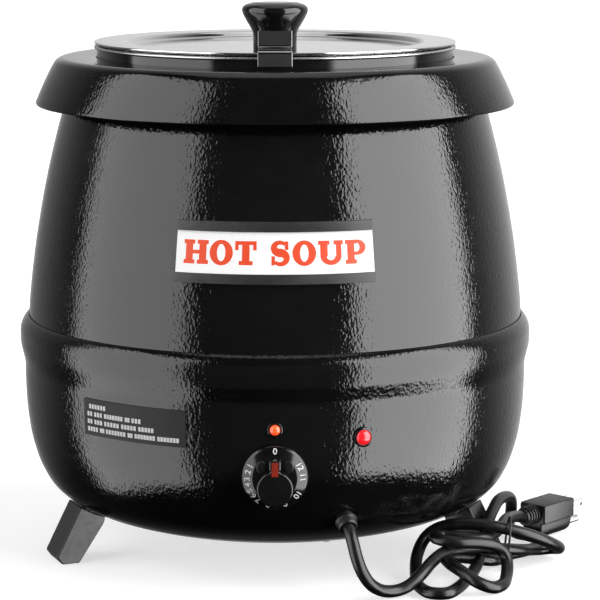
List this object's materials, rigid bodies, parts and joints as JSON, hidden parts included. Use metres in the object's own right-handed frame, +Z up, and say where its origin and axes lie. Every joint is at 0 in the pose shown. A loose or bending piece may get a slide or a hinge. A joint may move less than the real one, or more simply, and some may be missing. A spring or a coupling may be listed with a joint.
{
  "type": "soup kettle",
  "caption": "Black hammertone countertop soup kettle on three splayed legs, with a lift-out pot, hinged polished lid, control dial, pilot lamps and a mains cord.",
  "frame": {"origin": "on the floor under the middle of the kettle's footprint, dial included; the shell's vertical axis is 6.75 mm behind it, at Y = 0.00675", "axes": "+Z up, -Y towards the front with the dial and the label, +X to the right as seen from the front"},
  "size_m": [0.3879, 0.3582, 0.3722],
  "materials": {
    "black_hammertone": "semi-gloss black hammertone stove enamel",
    "black_gloss": "gloss black",
    "polished_steel": "mirror-polished stainless steel",
    "satin_steel": "satin stainless steel",
    "zinc_plate": "bright zinc plate",
    "brass": "bare brass",
    "black_pvc": "flexible black PVC",
    "orange_lens": "lit orange lens",
    "red_lens": "lit red lens",
    "white_card": "white card printed in orange-red",
    "grey_print": "dark grey",
    "white_nylon": "natural nylon"
  },
  "bodies": {
    "kettle": {"lower_bowl": "black_hammertone", "upper_body": "black_hammertone", "collar": "black_gloss", "leg_left": "black_gloss", "leg_right": "black_gloss", "leg_rear": "black_gloss", "pilot_orange_body": "black_gloss", "pilot_red_body": "black_gloss", "cord_bushing": "black_gloss", "well": "satin_steel", "heater_ring": "satin_steel", "thermal_cutout": "satin_steel", "base_plate": "zinc_plate", "heater_clamp": "zinc_plate", "clamp_nut": "zinc_plate", "thermostat_nut": "zinc_plate", "base_screw_1": "zinc_plate", "base_screw_2": "zinc_plate", "base_screw_3": "zinc_plate", "leg_screw_left": "zinc_plate", "leg_screw_right": "zinc_plate", "leg_screw_rear": "zinc_plate", "sensing_bulb": "brass", "earth_screw": "brass", "plug_blade_left": "brass", "plug_blade_right": "brass", "earth_pin": "brass", "cord_free": "black_pvc", "cord_bundle": "black_pvc", "cord_lead": "black_pvc", "cord_loop": "black_pvc", "plug_body": "black_pvc", "pilot_orange_lens": "orange_lens", "pilot_red_lens": "red_lens", "label_holder": "grey_print", "decal": "grey_print", "thermostat_body": "white_nylon", "terminal_block": "white_nylon"},
    "pot": {"pot": "satin_steel", "hinge_bracket": "satin_steel", "hinge_pin": "satin_steel"},
    "lid": {"lid": "polished_steel", "lid_strap": "polished_steel", "hinge_leaf": "polished_steel", "knob": "black_gloss", "knob_cap": "black_gloss", "knob_screw": "zinc_plate"},
    "dial": {"dial": "black_gloss", "dial_pointer": "red_lens", "thermostat_shaft": "satin_steel"},
    "label": {"label_card": "white_card"}
  },
  "joints": [
    {"name": "pot_lift", "type": "slide", "parent": "kettle", "child": "pot", "axis": [0, 0, 1], "range_m": [0, 0.26]},
    {"name": "lid_hinge", "type": "hinge", "parent": "pot", "child": "lid", "pos_m": [0, 0.13425, 0.3445], "axis": [-1, 0, 0], "range_deg": [0, 100]},
    {"name": "dial_turn", "type": "hinge", "parent": "kettle", "child": "dial", "pos_m": [0, -0.16325, 0.0837], "axis": [0, 1, 0], "range_deg": [0, 300]},
    {"name": "label_slide", "type": "hinge", "parent": "kettle", "child": "label", "pos_m": [0, 0.00675, 0.2226], "axis": [0, 0, 1], "range_deg": [-48, 48]}
  ]
}
